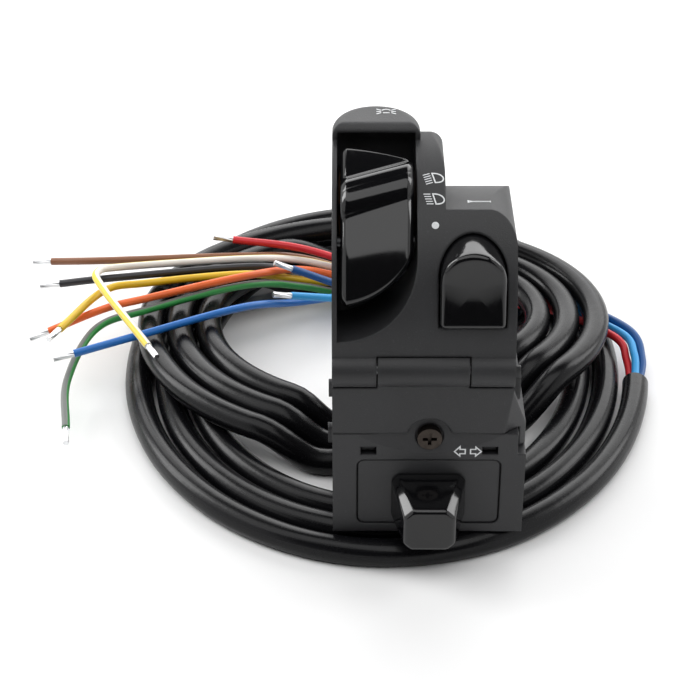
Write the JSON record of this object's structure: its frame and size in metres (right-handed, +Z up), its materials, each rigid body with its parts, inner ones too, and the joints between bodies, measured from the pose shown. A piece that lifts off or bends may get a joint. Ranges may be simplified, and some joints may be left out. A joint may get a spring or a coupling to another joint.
{
  "type": "handlebar switch cluster",
  "caption": "Left handlebar switch cluster with a hinged bar clamp, light rocker, horn button, turn-signal slide and coiled cables.",
  "frame": {"origin": "on the handlebar's axis, in the middle of the clamp's left and lower parts", "axes": "+X along the handlebar towards its middle, -Y towards the rider, +Z up"},
  "size_m": [0.1687, 0.1719, 0.0947],
  "materials": {
    "shell_black": "fine-grained matte",
    "housing_black": "smooth satin",
    "button_black": "polished",
    "pin_steel": "ground",
    "screw_steel": "dark plated",
    "spring_steel": "drawn wire",
    "insert_brass": "turned",
    "contact_brass": "stamped",
    "board_brown": "pressed laminate",
    "slider_ivory": "as moulded",
    "gland_rubber": "matte",
    "sleeve_black": "soft satin vinyl",
    "wire_brown": "vinyl",
    "wire_white": "vinyl with a yellow stripe",
    "wire_black": "vinyl",
    "wire_yellow": "vinyl",
    "wire_orange": "vinyl",
    "wire_green": "vinyl",
    "wire_blue": "vinyl",
    "wire_red": "vinyl",
    "wire_light_blue": "vinyl",
    "wire_deep_blue": "vinyl",
    "tip_tinned": "tinned strands"
  },
  "bodies": {
    "lower": {"lower_shell": "shell_black", "turn_housing": "housing_black", "housing_screws": "screw_steel", "turn_face_plate": "housing_black", "turn_contact_board": "board_brown", "turn_terminals": "contact_brass", "clamp_insert": "insert_brass", "hinge_pin": "pin_steel", "main_cable_gland": "gland_rubber", "turn_cable_gland": "gland_rubber", "main_cable_lead": "sleeve_black", "main_cable_coil": "sleeve_black", "turn_cable_lead": "sleeve_black", "turn_cable_coil": "sleeve_black", "wire_brown": "wire_brown", "wire_white_yellow": "wire_white", "wire_black": "wire_black", "wire_yellow": "wire_yellow", "wire_orange": "wire_orange", "wire_green": "wire_green", "wire_blue": "wire_blue", "main_wire_tips": "tip_tinned", "turn_wire_red": "wire_red", "turn_wire_light_blue": "wire_light_blue", "turn_wire_blue": "wire_deep_blue", "turn_wire_tips": "tip_tinned"},
    "upper": {"upper_shell": "shell_black", "clamp_screw": "screw_steel", "rocker_pin": "pin_steel", "light_contact_board": "board_brown", "light_terminals": "contact_brass", "horn_board": "board_brown", "horn_terminals": "contact_brass", "board_screws": "screw_steel", "horn_spring": "spring_steel"},
    "rocker": {"light_rocker": "button_black", "rocker_detent_ball": "pin_steel", "rocker_detent_spring": "spring_steel", "light_contact_bridge": "contact_brass"},
    "horn": {"horn_button": "button_black", "horn_contact": "contact_brass"},
    "turn": {"turn_knob": "button_black", "turn_slider": "slider_ivory", "turn_detent_ball": "pin_steel", "turn_detent_spring": "spring_steel", "turn_contact_bridge": "contact_brass"}
  },
  "joints": [
    {"name": "clamp_open", "type": "hinge", "parent": "lower", "child": "upper", "pos_m": [0, -0.0225, 0.0015], "axis": [1, 0, 0], "range_deg": [0, 90]},
    {"name": "light_select", "type": "hinge", "parent": "upper", "child": "rocker", "pos_m": [-0.0111, 0.004, 0.0185], "axis": [1, 0, 0], "range_deg": [-13, 13]},
    {"name": "horn_press", "type": "slide", "parent": "upper", "child": "horn", "axis": [0, 1, 0], "range_m": [0, 0.003], "stiffness_N_per_m": 80, "deforming": ["horn_spring"]},
    {"name": "turn_slide", "type": "slide", "parent": "lower", "child": "turn", "axis": [1, 0, 0], "range_m": [-0.004, 0.004]}
  ]
}
